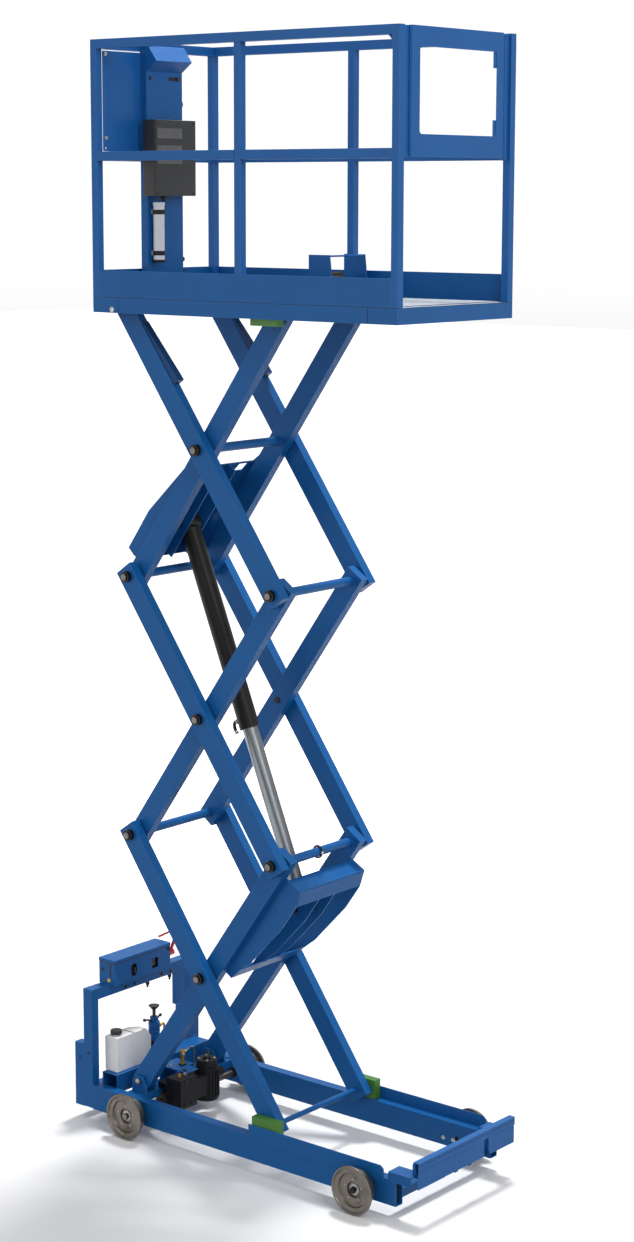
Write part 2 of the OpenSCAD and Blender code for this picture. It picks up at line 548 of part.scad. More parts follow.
side_beams();
slide_guides();
rear_posts();
rear_top_bar();
cross_members();
pivot_brackets();
base_pins();
bumper();
bumper_brackets();
control_box();
oil_tank();
hand_pump();
power_pack();
pump_motor();
axle_bearings();
tank_cap();
key_switch();
lowering_lever();
pump_handle();
front_wheel_near();
front_wheel_far();
rear_wheels();
rear_axle();
b1_arms();
b1_cross_tube();
b1_cylinder_mount();
b1_pins();
a1_arms();
a1_bushes();
base_slider_blocks();
base_slider_shaft();
a2_arms();
a2_bushes();
b2_arms();
b2_cross_tubes();
b2_pins();
a3_arms();
a3_bushes();
b3_arms();
b3_cross_tubes();
b3_cylinder_mount();
b3_pins();
top_sliders();
cylinder_barrel();
cylinder_rod();
cylinder_piston();
platform_frame();
platform_floor();
toe_boards();
guard_posts();
guard_rails();
gate();
back_panel();
control_column();
column_hood();
platform_control_box();
document_tube();
pedal_guard();
foot_pedal();
stop_button();
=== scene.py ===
import bpy, bmesh, json, math, random
from mathutils import Matrix, Vector


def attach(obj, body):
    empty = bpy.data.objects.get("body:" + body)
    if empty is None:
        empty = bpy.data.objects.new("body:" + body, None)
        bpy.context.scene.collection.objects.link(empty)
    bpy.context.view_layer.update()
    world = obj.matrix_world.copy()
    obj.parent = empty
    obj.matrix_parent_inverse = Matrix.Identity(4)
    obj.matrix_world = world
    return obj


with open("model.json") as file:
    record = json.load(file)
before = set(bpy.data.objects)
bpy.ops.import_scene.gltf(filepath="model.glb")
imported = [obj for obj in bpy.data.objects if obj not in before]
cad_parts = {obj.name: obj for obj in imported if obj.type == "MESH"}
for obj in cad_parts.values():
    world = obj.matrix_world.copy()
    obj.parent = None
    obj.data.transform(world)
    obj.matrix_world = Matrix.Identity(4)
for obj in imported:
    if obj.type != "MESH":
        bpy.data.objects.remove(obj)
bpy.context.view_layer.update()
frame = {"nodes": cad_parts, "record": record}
N = frame["nodes"]
MM = 0.001

# ------------------------------------------------------------------ camera
AZ, PITCH, ROLL = math.radians(39.27), math.radians(9.81), math.radians(0.14)
back = Vector((math.sin(AZ) * math.cos(PITCH), -math.cos(AZ) * math.cos(PITCH), math.sin(PITCH)))
fwd = -back
right = Vector((math.cos(AZ), math.sin(AZ), 0))
up = right.cross(fwd)
r = right * math.cos(ROLL) + up * math.sin(ROLL)
u = -right * math.sin(ROLL) + up * math.cos(ROLL)
cam_data = bpy.data.cameras.new("camera")
cam = bpy.data.objects.new("camera", cam_data)
bpy.context.scene.collection.objects.link(cam)
m = Matrix((r, u, back)).transposed().to_4x4()
m.translation = Vector((6.8769, -8.2212, 4.28435))
cam.matrix_world = m
cam_data.sensor_fit = "AUTO"
cam_data.sensor_width = 36.0
cam_data.lens = 2467.17 * 36.0 / 1242.0
cam_data.clip_end = 200
bpy.context.scene.camera = cam

# ------------------------------------------------------------------ floor and light
def stage_plane(name, size, z, mat):
    me = bpy.data.meshes.new(name)
    me.from_pydata([(-size, -size, z), (size, -size, z), (size, size, z), (-size, size, z)], [], [(0, 1, 2, 3)])
    o = bpy.data.objects.new(name, me)
    bpy.context.scene.collection.objects.link(o)
    me.materials.append(mat)
    return o

def area(name, loc, target, size, power, color=(1, 1, 1)):
    d = bpy.data.lights.new(name, "AREA")
    d.shape = "RECTANGLE"
    d.size, d.size_y = size
    d.energy = power
    d.color = color
    o = bpy.data.objects.new(name, d)
    bpy.context.scene.collection.objects.link(o)
    o.location = loc
    o.rotation_euler = (Vector(target) - Vector(loc)).to_track_quat("-Z", "Y").to_euler()
    return o

world = bpy.data.worlds.new("studio")
bpy.context.scene.world = world
world.use_nodes = True
wnt = world.node_tree
wbg = wnt.nodes["Background"]
wtc = wnt.nodes.new("ShaderNodeTexCoord")
wsep = wnt.nodes.new("ShaderNodeSeparateXYZ")
wnt.links.new(wtc.outputs["Generated"], wsep.inputs[0])
wramp = wnt.nodes.new("ShaderNodeMapRange")          # bright sky, dim under the horizon
wramp.inputs["From Min"].default_value = -0.25
wramp.inputs["From Max"].default_value = -0.02
wramp.inputs["To Min"].default_value = 0.30
wramp.inputs["To Max"].default_value = 1.05
wnt.links.new(wsep.outputs["Z"], wramp.inputs["Value"])
wdome = wnt.nodes.new("ShaderNodeMapRange")          # softer straight overhead, so that the lamps draw the shadows
wdome.inputs["From Min"].default_value = 0.10
wdome.inputs["From Max"].default_value = 0.40
wdome.inputs["To Min"].default_value = 1.0
wdome.inputs["To Max"].default_value = 0.46
wnt.links.new(wsep.outputs["Z"], wdome.inputs["Value"])
wmul = wnt.nodes.new("ShaderNodeMath")
wmul.operation = "MULTIPLY"
wnt.links.new(wramp.outputs["Result"], wmul.inputs[0])
wnt.links.new(wdome.outputs["Result"], wmul.inputs[1])
wnt.links.new(wmul.outputs[0], wbg.inputs["Strength"])
wbg.inputs["Color"].default_value = (1.0, 1.0, 1.0, 1)
bpy.context.scene.view_settings.view_transform = "Standard"

area("key", (8.5, -3.0, 8.0), (0, 0, 2.4), (4.0, 4.0), 330, (1.0, 0.995, 0.985))
area("top", (-1.2, 3.2, 10.5), (0.2, 0, 0), (1.8, 1.8), 900, (1.0, 1.0, 1.0))
area("fill", (-4.5, -8.5, 5.5), (0, 0, 2.4), (4.0, 5.0), 90, (0.97, 0.98, 1.0))

# ------------------------------------------------------------------ node material helpers
def srgb(r8, g8, b8):
    def f(c):
        c /= 255.0
        return c / 12.92 if c <= 0.04045 else ((c + 0.055) / 1.055) ** 2.4
    return (f(r8), f(g8), f(b8), 1.0)

def mixrgb(nt, fac, a, b, blend="MIX"):
    n = nt.nodes.new("ShaderNodeMix")
    n.data_type = "RGBA"
    n.blend_type = blend
    for k, v in ((0, fac), (6, a), (7, b)):
        s = n.inputs[k]
        if hasattr(v, "is_output"):
            nt.links.new(v, s)
        else:
            s.default_value = v
    return n.outputs[2]

def mth(nt, op, a, b=None, c=None, clamp=False):
    n = nt.nodes.new("ShaderNodeMath")
    n.operation = op
    n.use_clamp = clamp
    for k, v in enumerate((a, b, c)):
        if v is None:
            continue
        if hasattr(v, "is_output"):
            nt.links.new(v, n.inputs[k])
        else:
            n.inputs[k].default_value = v
    return n.outputs[0]

def noise(nt, vec, scale, detail=3.0, rough=0.55, dist=0.0):
    n = nt.nodes.new("ShaderNodeTexNoise")
    n.inputs["Scale"].default_value = scale
    n.inputs["Detail"].default_value = detail
    n.inputs["Roughness"].default_value = rough
    n.inputs["Distortion"].default_value = dist
    nt.links.new(vec, n.inputs["Vector"])
    return n.outputs["Fac"]

def remap(nt, val, lo, hi, tlo=0.0, thi=1.0):
    n = nt.nodes.new("ShaderNodeMapRange")
    n.inputs["From Min"].default_value = lo
    n.inputs["From Max"].default_value = hi
    n.inputs["To Min"].default_value = tlo
    n.inputs["To Max"].default_value = thi
    nt.links.new(val, n.inputs["Value"])
    return n.outputs["Result"]

def edge_mask(nt, radius):
    """1 on sharp convex and concave edges, 0 on flats."""
    bev = nt.nodes.new("ShaderNodeBevel")
    bev.samples = 4
    bev.inputs["Radius"].default_value = radius
    geo = nt.nodes.new("ShaderNodeNewGeometry")
    dot = nt.nodes.new("ShaderNodeVectorMath")
    dot.operation = "DOT_PRODUCT"
    nt.links.new(bev.outputs[0], dot.inputs[0])
    nt.links.new(geo.outputs["Normal"], dot.inputs[1])
    return remap(nt, dot.outputs["Value"], 0.995, 0.80, 0.0, 1.0)

def new_mat(name):
    m = bpy.data.materials.new(name)
    m.use_nodes = True
    nt = m.node_tree
    bsdf = nt.nodes["Principled BSDF"]
    tc = nt.nodes.new("ShaderNodeTexCoord")
    return m, nt, bsdf, tc.outputs["Object"]

def bump(nt, bsdf, height, strength, dist):
    b = nt.nodes.new("ShaderNodeBump")
    b.inputs["Strength"].default_value = strength
    b.inputs["Distance"].default_value = dist
    nt.links.new(height, b.inputs["Height"])
    nt.links.new(b.outputs["Normal"], bsdf.inputs["Normal"])

def paint(name, col, rough=0.40, var=0.06, edge_highlight=(0.08, 0.27, 0.56, 1), edge_highlight_amt=0.6, dust=0.05, dustcol=(0.06, 0.20, 0.40, 1),
          peel=0.10, coat=0.03, wear_r=0.004, spec=0.16):
    """Powder coated steel: fine orange peel, slight cloudiness, dust, and edges lighter, partly rubbed wear and partly
    a painted highlight.
    """
    m, nt, b, v = new_mat(name)
    big = noise(nt, v, 2.3, 3.0)
    mid = noise(nt, v, 19.0, 4.0, 0.6, 0.4)
    fine = noise(nt, v, 420.0, 2.0)
    speck = noise(nt, v, 130.0, 5.0, 0.7)
    dark = tuple(c * (1 - var) for c in col[:3]) + (1,)
    lite = tuple(min(1, c * (1 + var)) for c in col[:3]) + (1,)
    c = mixrgb(nt, remap(nt, big, 0.3, 0.7), dark, lite)
    c = mixrgb(nt, remap(nt, mid, 0.45, 0.75, 0.0, dust), c, dustcol)
    em = edge_mask(nt, wear_r)
    # edges mixed towards a lighter colour: partly rubbed wear, partly a painted highlight along the sharp edges
    rub_and_highlight = mth(nt, "MULTIPLY", em, remap(nt, speck, 0.35, 0.65, 0.35, 1.0))
    c = mixrgb(nt, mth(nt, "MULTIPLY", rub_and_highlight, edge_highlight_amt), c, edge_highlight)
    chip = mth(nt, "MULTIPLY", em, remap(nt, mid, 0.63, 0.70, 0.0, 0.7))
    c = mixrgb(nt, chip, c, (0.16, 0.18, 0.20, 1))
    nt.links.new(c, b.inputs["Base Color"])
    rg = mth(nt, "ADD", remap(nt, mid, 0.3, 0.7, rough - 0.05, rough + 0.07), mth(nt, "MULTIPLY", rub_and_highlight, 0.08))
    nt.links.new(rg, b.inputs["Roughness"])
    b.inputs["Coat Weight"].default_value = coat
    b.inputs["Specular IOR Level"].default_value = spec
    b.inputs["Coat Roughness"].default_value = 0.22
    bump(nt, b, fine, peel, 0.0006)
    return m

def metal(name, col, rough=0.35, turned=0.25, dirt=0.35, dirtcol=(0.05, 0.045, 0.04, 1), scale=60.0, axis=None):
    m, nt, b, v = new_mat(name)
    mp = nt.nodes.new("ShaderNodeMapping")
    nt.links.new(v, mp.inputs["Vector"])
    mp.inputs["Scale"].default_value = axis or (1, 1, 1)
    vv = mp.outputs["Vector"]
    lines = noise(nt, vv, scale * 8, 3.0, 0.6)
    blot = noise(nt, v, 14.0, 5.0, 0.65, 0.5)
    fine = noise(nt, v, 260.0, 3.0)
    c = mixrgb(nt, remap(nt, lines, 0.35, 0.65), tuple(x * 0.82 for x in col[:3]) + (1,), col)
    c = mixrgb(nt, remap(nt, blot, 0.50, 0.72, 0.0, dirt), c, dirtcol)
    em = edge_mask(nt, 0.003)
    # lighter edges: a painted highlight along the sharp edges
    c = mixrgb(nt, mth(nt, "MULTIPLY", em, 0.5), c, tuple(min(1, x * 1.7 + 0.05) for x in col[:3]) + (1,))
    nt.links.new(c, b.inputs["Base Color"])
    b.inputs["Metallic"].default_value = 1.0
    nt.links.new(remap(nt, blot, 0.3, 0.75, rough - 0.06, rough + 0.2), b.inputs["Roughness"])
    h = mixrgb(nt, 0.5, lines, fine)
    bump(nt, b, h, turned, 0.0004)
    return m

def plastic(name, col, rough=0.45, grain=0.25, gscale=900.0, var=0.12, edge_highlight=None, dust=0.12, dustcol=(0.4, 0.4, 0.4, 1), sss=0.0):
    m, nt, b, v = new_mat(name)
    big = noise(nt, v, 6.0, 3.0)
    mid = noise(nt, v, 45.0, 4.0, 0.6)
    g = nt.nodes.new("ShaderNodeTexVoronoi")
    g.inputs["Scale"].default_value = gscale
    nt.links.new(v, g.inputs["Vector"])
    dark = tuple(c * (1 - var) for c in col[:3]) + (1,)
    lite = tuple(min(1, c * (1 + var)) for c in col[:3]) + (1,)
    c = mixrgb(nt, remap(nt, big, 0.3, 0.7), dark, lite)
    c = mixrgb(nt, remap(nt, mid, 0.5, 0.75, 0.0, dust), c, dustcol)
    em = edge_mask(nt, 0.003)
    # lighter edges: a painted highlight along the sharp edges
    e = edge_highlight or tuple(min(1, x * 1.5 + 0.03) for x in col[:3]) + (1,)
    c = mixrgb(nt, mth(nt, "MULTIPLY", em, 0.45), c, e)
    nt.links.new(c, b.inputs["Base Color"])
    nt.links.new(remap(nt, mid, 0.3, 0.7, rough - 0.06, rough + 0.08), b.inputs["Roughness"])
    if sss:
        b.inputs["Subsurface Weight"].default_value = sss
        b.inputs["Subsurface Radius"].default_value = (0.02, 0.02, 0.02)
    bump(nt, b, g.outputs["Distance"], grain, 0.0003)
    return m

BLUE = srgb(17, 88, 152)
MAT = {
    "blue_paint": paint("blue_paint", BLUE),
    "light_blue_paint": paint("light_blue_paint", srgb(24, 92, 160)),
    # a darker copy of the blue paint: painted shade for faces that lie in shadow
    "dark_blue": paint("blue_painted_shade", srgb(14, 62, 112), edge_highlight_amt=0.3),
    "slider_green": plastic("slider_green", srgb(64, 122, 36), 0.5, 0.15, 500, dustcol=(0.25, 0.35, 0.2, 1)),
    "pin_steel": metal("pin_steel", srgb(124, 118, 113), 0.38),
    "collar_black": metal("collar_black", srgb(52, 50, 50), 0.42, dirt=0.2),
    "wheel_steel": metal("wheel_steel", srgb(128, 122, 114), 0.42, 0.35, 0.45, axis=(1, 1, 1)),
    "barrel_black": paint("barrel_black", srgb(30, 30, 31), 0.42, 0.15, (0.06, 0.06, 0.06, 1), 0.4, 0.10, (0.05, 0.048, 0.045, 1)),
    "rod_grey": metal("rod_grey", srgb(136, 141, 144), 0.30, 0.10, 0.15, (0.2, 0.2, 0.2, 1)),
    "tank_white": plastic("tank_white", srgb(244, 243, 241), 0.4, 0.10, 300, 0.05, dustcol=(0.55, 0.53, 0.48, 1), sss=0.15),
    "black_plastic": plastic("black_plastic", srgb(34, 35, 35), 0.5, 0.35, 1400, 0.15, dustcol=(0.12, 0.12, 0.115, 1)),
    "grey_panel": plastic("grey_panel", srgb(84, 84, 85), 0.38, 0.10, 1800, 0.08),
    "pump_black": paint("pump_black", srgb(22, 23, 26), 0.45, 0.2, (0.09, 0.09, 0.09, 1), 0.5, 0.3, (0.05, 0.045, 0.04, 1), peel=0.3),
    "bush_bronze": metal("bush_bronze", srgb(176, 134, 74), 0.4),
    "lever_red": plastic("lever_red", srgb(200, 24, 22), 0.32, 0.06, 700, dustcol=(0.5, 0.1, 0.08, 1)),
    "yellow": plastic("yellow_plastic", srgb(214, 178, 30), 0.38, 0.06, 700, dustcol=(0.5, 0.4, 0.2, 1)),
    "tube_white": plastic("tube_white", srgb(222, 222, 226), 0.28, 0.03, 400, 0.03, sss=0.1),
    "floor_plate": metal("floor_plate", srgb(150, 156, 164), 0.42, 0.2, 0.4),
    "zinc": metal("zinc_bolt", srgb(176, 176, 172), 0.34, 0.2, 0.3),
    "brass": metal("brass_fitting", srgb(190, 150, 80), 0.32, 0.2, 0.3),
    "cast_grey": metal("cast_grey", srgb(120, 112, 100), 0.55, 0.5, 0.4),
    # darker, dirty metal for the walls inside the wheel hub recesses: painted shade in the recess
    "hub_recess_shade": metal("hub_recess_shade", srgb(78, 72, 66), 0.5, 0.3, 0.5),
    "dark_bolt": metal("dark_bolt", srgb(70, 70, 74), 0.42, 0.2, 0.3),
    "blue_bolt": paint("blue_bolt", BLUE, 0.32, 0.05),
    "weld_blue": paint("weld_blue", srgb(22, 84, 146), 0.34, 0.12, peel=0.5),
    "seam_dark": paint("seam_dark", srgb(8, 26, 50), 0.6, 0.2, (0.02, 0.05, 0.1, 1), 0.2, 0.1, (0.02, 0.03, 0.05, 1)),
    "rubber": plastic("black_rubber", srgb(26, 26, 26), 0.72, 0.4, 600, 0.2, dustcol=(0.12, 0.11, 0.1, 1)),
}

# pale studio floor, with a faint mottling so it isn't one flat colour
mf, ntf, bf, vf = new_mat("studio_floor")
ntf.links.new(mixrgb(ntf, remap(ntf, noise(ntf, vf, 0.8, 2.0), 0.3, 0.7), (0.90, 0.905, 0.915, 1), (0.93, 0.93, 0.935, 1)), bf.inputs["Base Color"])
bf.inputs["Roughness"].default_value = 0.6
# away from the lamps the sweep is lit evenly white
fdist = ntf.nodes.new("ShaderNodeVectorMath")
fdist.operation = "LENGTH"
ntf.links.new(vf, fdist.inputs[0])
bf.inputs["Emission Color"].default_value = (1, 1, 1, 1)
ntf.links.new(remap(ntf, fdist.outputs["Value"], 1.8, 6.0, 0.0, 0.75), bf.inputs["Emission Strength"])
floor = stage_plane("floor", 60.0, -0.0005, mf)
floor.visible_diffuse = False          # a studio sweep far from the object: no strong bounce from below

# ------------------------------------------------------------------ CAD nodes: material, softened edges
SLOT = {s["node"]: s["material_slot"] for s in frame["record"]["subparts"]}
THIN = {"b1_cylinder_mount": 0.8, "b3_cylinder_mount": 0.8, "bumper": 0.8, "bumper_brackets": 1.0, "gate": 0.7, "back_panel": 0.6,
        "toe_boards": 0.7, "guard_rails": 2.2, "guard_posts": 2.2, "control_column": 1.2, "column_hood": 1.0, "platform_floor": 0.8,
        "platform_frame": 1.0, "pedal_guard": 1.0, "side_beams": 1.4, "rear_posts": 1.4, "rear_top_bar": 1.0, "slide_guides": 1.0,
        "key_switch": 0.8, "document_tube": 0.8, "oil_tank": 3.2, "base_slider_blocks": 3.0, "top_sliders": 3.0, "platform_control_box": 3.0,
        "cylinder_piston": 0.5, "a1_arms": 3.5, "a2_arms": 3.5, "a3_arms": 3.5, "b1_arms": 3.5, "b2_arms": 3.5, "b3_arms": 3.5}

def soften(o, width, segs=2):
    me = o.data
    if me.has_custom_normals:
        with bpy.context.temp_override(object=o, active_object=o, selected_objects=[o], selected_editable_objects=[o]):
            bpy.ops.mesh.customdata_custom_splitnormals_clear()
    for p in me.polygons:
        p.use_smooth = True
    w = o.modifiers.new("weld", "WELD"); w.merge_threshold = 0.00002
    if o.name != "guard_rails":
      d = o.modifiers.new("flat", "DECIMATE"); d.decimate_type = "DISSOLVE"; d.angle_limit = math.radians(0.6)
    b = o.modifiers.new("edges", "BEVEL"); b.width = width * MM; b.segments = segs; b.limit_method = "ANGLE"
    b.angle_limit = math.radians(38); b.miter_outer = "MITER_ARC" if width > 2 else "MITER_SHARP"; b.use_clamp_overlap = True
    n = o.modifiers.new("normals", "WEIGHTED_NORMAL"); n.keep_sharp = True; n.weight = 60

for name, o in N.items():
    o.data.materials.clear()
    o.data.materials.append(MAT[SLOT[name]])
    soften(o, THIN.get(name, 1.2))


# faces of a node that take a second finish
def repaint(node, mat, test):
    o = N[node]
    o.data.materials.append(MAT[mat])
    k = len(o.data.materials) - 1
    mw = o.matrix_world
    for p in o.data.polygons:
        c = mw @ p.center
        n = (mw.to_3x3() @ p.normal).normalized()
        if test(c * 1000.0, n):
            p.material_index = k

AO = 321.0
for k in (1, 2, 3):
    repaint("b%d_pins" % k, "pin_steel", lambda c, n: abs(c.y) > AO + 20.4)
TH = math.radians(54.66)
ARM = 1457.0
ST = ARM * math.sin(TH)
XR, Z0 = -678.3, 222.7
XF, ZT = XR + ARM * math.cos(TH), Z0 + 3 * ST
FZ = ZT + 52.5
TZ = FZ + 1100.0

def on_b(k, x, z):
    return (XR + x * math.cos(TH) - z * math.sin(TH), Z0 + k * ST + x * math.sin(TH) + z * math.cos(TH))

def on_a(k, x, z):
    return (XR + x * math.cos(TH) + z * math.sin(TH), Z0 + (k + 1) * ST - x * math.sin(TH) + z * math.cos(TH))

def a3_local_z(c):
    dx, dz = c.x - XR, c.z - (Z0 + 3 * ST)
    return dx * math.sin(TH) + dz * math.cos(TH)
# the wedge on the A3 arms takes the darker blue: painted shade from the platform above
repaint("a3_arms", "dark_blue", lambda c, n: a3_local_z(c) > 47.9)
repaint("axle_bearings", "cast_grey", lambda c, n: abs(c.y) < 200)
# walls inside the hub recesses take the darker metal: painted shade
repaint("rear_wheels", "hub_recess_shade", lambda c, n: math.hypot(c.x + 624.5, c.z - 108) < 40 and abs(n.y) < 0.9)
for nm in ("front_wheel_near", "front_wheel_far"):
    repaint(nm, "hub_recess_shade", lambda c, n: math.hypot(c.x - 710.5, c.z - 108) < 40 and abs(n.y) < 0.9)
repaint("base_slider_shaft", "blue_paint", lambda c, n: True)
# the floor plate's side faces take the darker blue: painted shade on its sides
repaint("platform_floor", "dark_blue", lambda c, n: abs(n.z) < 0.5)
repaint("hand_pump", "pump_black", lambda c, n: c.z < 331)
repaint("control_box", "black_plastic", lambda c, n: c.x > -876 and c.x < -860)

# ------------------------------------------------------------------ detail pieces
def finish_piece(name, body, mat, bm, bevel=0.8, segs=2, smooth=True):
    bmesh.ops.remove_doubles(bm, verts=bm.verts, dist=1e-6)
    bmesh.ops.recalc_face_normals(bm, faces=bm.faces)
    me = bpy.data.meshes.new(name)
    bm.to_mesh(me)
    bm.free()
    for p in me.polygons:
        p.use_smooth = smooth
    o = bpy.data.objects.new(name, me)
    bpy.context.scene.collection.objects.link(o)
    me.materials.append(MAT[mat])
    if bevel:
        b = o.modifiers.new("edges", "BEVEL"); b.width = bevel * MM; b.segments = segs; b.limit_method = "ANGLE"
        b.angle_limit = math.radians(35); b.use_clamp_overlap = True
        n = o.modifiers.new("normals", "WEIGHTED_NORMAL"); n.keep_sharp = True
    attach(o, body)
    return o

def basis(axis):
    a = Vector(axis).normalized()
    t = Vector((0, 0, 1)) if abs(a.z) < 0.9 else Vector((1, 0, 0))
    x = t.cross(a).normalized()
    return x, a.cross(x), a

def lathe_bm(bm, origin, axis, prof, segs=40):
    """Closed profile of (radius, distance along the axis) in mm, turned about the axis."""
    x, y, a = basis(axis)
    o = Vector(origin)
    rings = []
    for rr, t in prof:
        if rr <= 1e-6:
            rings.append([bm.verts.new((o + a * t) * MM)])
        else:
            rings.append([bm.verts.new((o + a * t + (x * math.cos(2 * math.pi * i / segs) + y * math.sin(2 * math.pi * i / segs)) * rr) * MM)
                          for i in range(segs)])
    closed = prof[0][0] > 1e-6
    pairs = list(zip(rings, rings[1:])) + ([(rings[-1], rings[0])] if closed else [])
    for p, q in pairs:
        for i in range(segs):
            j = (i + 1) % segs
            if len(p) == 1:
                bm.faces.new((p[0], q[i], q[j]))
            elif len(q) == 1:
                bm.faces.new((p[i], q[0], p[j]))
            else:
                bm.faces.new((p[i], q[i], q[j], p[j]))

def lathe(name, body, mat, origin, axis, prof, segs=40, bevel=0.0):
    bm = bmesh.new()
    lathe_bm(bm, origin, axis, prof, segs)
    return finish_piece(name, body, mat, bm, bevel)

def block(name, body, mat, lo, hi, bevel=1.2, segs=3, turn=None):
    bm = bmesh.new()
    bmesh.ops.create_cube(bm, size=1.0)
    c = (Vector(lo) + Vector(hi)) / 2
    d = Vector(hi) - Vector(lo)
    for v in bm.verts:
        p = Vector((v.co.x * d.x, v.co.y * d.y, v.co.z * d.z))
        if turn:
            p = Matrix.Rotation(turn, 3, "Y") @ p
        v.co = (c + p) * MM
    return finish_piece(name, body, mat, bm, bevel, segs)

def prism(name, body, mat, pts, axis, a0, a1, bevel=0.8):
    """Outline in the plane across axis ('x': (y, z), 'y': (x, z), 'z': (x, y)), from a0 to a1."""
    bm = bmesh.new()
    def at(p, t):
        return Vector({"x": (t, p[0], p[1]), "y": (p[0], t, p[1]), "z": (p[0], p[1], t)}[axis]) * MM
    lo = [bm.verts.new(at(p, a0)) for p in pts]
    hi = [bm.verts.new(at(p, a1)) for p in pts]
    bm.faces.new(lo)
    bm.faces.new(list(reversed(hi)))
    for i in range(len(pts)):
        j = (i + 1) % len(pts)
        bm.faces.new((lo[i], hi[i], hi[j], lo[j]))
    return finish_piece(name, body, mat, bm, bevel)

def rounded(w, h, rad, cx=0.0, cy=0.0, n=6):
    out = []
    for sx, sy, a0 in ((1, 1, 0), (-1, 1, 90), (-1, -1, 180), (1, -1, 270)):
        for i in range(n + 1):
            a = math.radians(a0 + 90.0 * i / n)
            out.append((cx + sx * (w / 2 - rad) + rad * math.cos(a), cy + sy * (h / 2 - rad) + rad * math.sin(a)))
    return out

def tube(name, body, mat, pts, rad, segs=14, closed=False):
    """Round tube along a smooth path through the given points, in mm."""
    P = [Vector(p) for p in pts]
    path = []
    n = len(P)
    rng = range(n if closed else n - 1)
    for i in rng:
        p0 = P[(i - 1) % n] if (closed or i > 0) else P[0]
        p1, p2 = P[i], P[(i + 1) % n]
        p3 = P[(i + 2) % n] if (closed or i + 2 < n) else P[-1]
        for k in range(8):
            t = k / 8.0
            path.append(0.5 * ((2 * p1) + (p2 - p0) * t + (2 * p0 - 5 * p1 + 4 * p2 - p3) * t * t + (3 * p1 - p0 - 3 * p2 + p3) * t ** 3))
    if not closed:
        path.append(P[-1])
    bm = bmesh.new()
    rings = []
    m = len(path)
    nrm = None
    for i, c in enumerate(path):
        a = (path[(i + 1) % m] - path[(i - 1) % m]) if (closed or 0 < i < m - 1) else (path[1] - path[0] if i == 0 else path[-1] - path[-2])
        a.normalize()
        if nrm is None:
            nrm = basis(a)[0]
        nrm = (nrm - a * nrm.dot(a)).normalized()
        bi = a.cross(nrm)
        rings.append([bm.verts.new((c + (nrm * math.cos(2 * math.pi * j / segs) + bi * math.sin(2 * math.pi * j / segs)) * rad) * MM) for j in range(segs)])
    for p, q in list(zip(rings, rings[1:])) + ([(rings[-1], rings[0])] if closed else []):
        for j in range(segs):
            bm.faces.new((p[j], q[j], q[(j + 1) % segs], p[(j + 1) % segs]))
    if not closed:
        bm.faces.new(list(reversed(rings[0])))
        bm.faces.new(rings[-1])
    return finish_piece(name, body, mat, bm, 0)

def bolt(name, body, pos, axis, rad=7.0, mat="zinc", head=None, washer=True):
    """Hex head with a chamfered top on a round washer."""
    bm = bmesh.new()
    h = head or rad * 0.85
    if washer:
        lathe_bm(bm, pos, axis, [(0, -1.0), (rad * 1.35, -1.0), (rad * 1.35, 1.1), (rad * 1.25, 1.5), (0, 1.5)], 28)
    x, y, a = basis(axis)
    o = Vector(pos) + a * (1.2 if washer else -0.5)
    prof = [(rad, 0.0), (rad, h * 0.72), (rad * 0.86, h)]
    rings = [[bm.verts.new((o + a * t + (x * math.cos(math.pi * i / 3) + y * math.sin(math.pi * i / 3)) * rr) * MM) for i in range(6)] for rr, t in prof]
    bm.faces.new(list(reversed(rings[0])))
    bm.faces.new(rings[-1])
    for p, q in zip(rings, rings[1:]):
        for i in range(6):
            bm.faces.new((p[i], p[(i + 1) % 6], q[(i + 1) % 6], q[i]))
    return finish_piece(name, body, mat, bm, 0.35)

# hydraulic hose loop round the cross tube, and a clip on it
ringc = (XF, -3.0, Z0 + ST)
tube("hose_ring", "inner_arms_1", "rubber", [(ringc[0] + 25.5 * math.cos(a), ringc[1] + 3 * math.sin(a), ringc[2] + 25.5 * math.sin(a)) for a in
     [2 * math.pi * i / 12 for i in range(12)]], 4.6, closed=True)
lathe("hose_ring_clip", "inner_arms_1", "zinc", (XF + 25.5, -3.0, Z0 + ST - 6), (0, 0, 1), [(0, 0), (6.4, 0), (6.4, 12), (0, 12)], 20, 0.6)

# weld fillets where the cross tubes meet the arms
def weld(name, body, x, z, s):
    tube(name, body, "weld_blue", [(x + 21.2 * math.cos(a), s * (220.0 - 1.2 + 0.35 * math.sin(7 * a)), z + 21.2 * math.sin(a)) for a in
         [2 * math.pi * i / 24 for i in range(24)]], 2.6, 8, True)
for i, (bd, kx) in enumerate((("inner_arms_1", (0, ARM)), ("inner_arms_2", (1, 0)), ("inner_arms_2", (1, ARM)), ("inner_arms_3", (2, 0)), ("inner_arms_3", (2, ARM / 2)))):
    x, z = on_b(kx[0], kx[1], 0)
    for s in (-1, 1):
        weld("weld_%d_%s" % (i, "near" if s < 0 else "far"), bd, x, z, s)

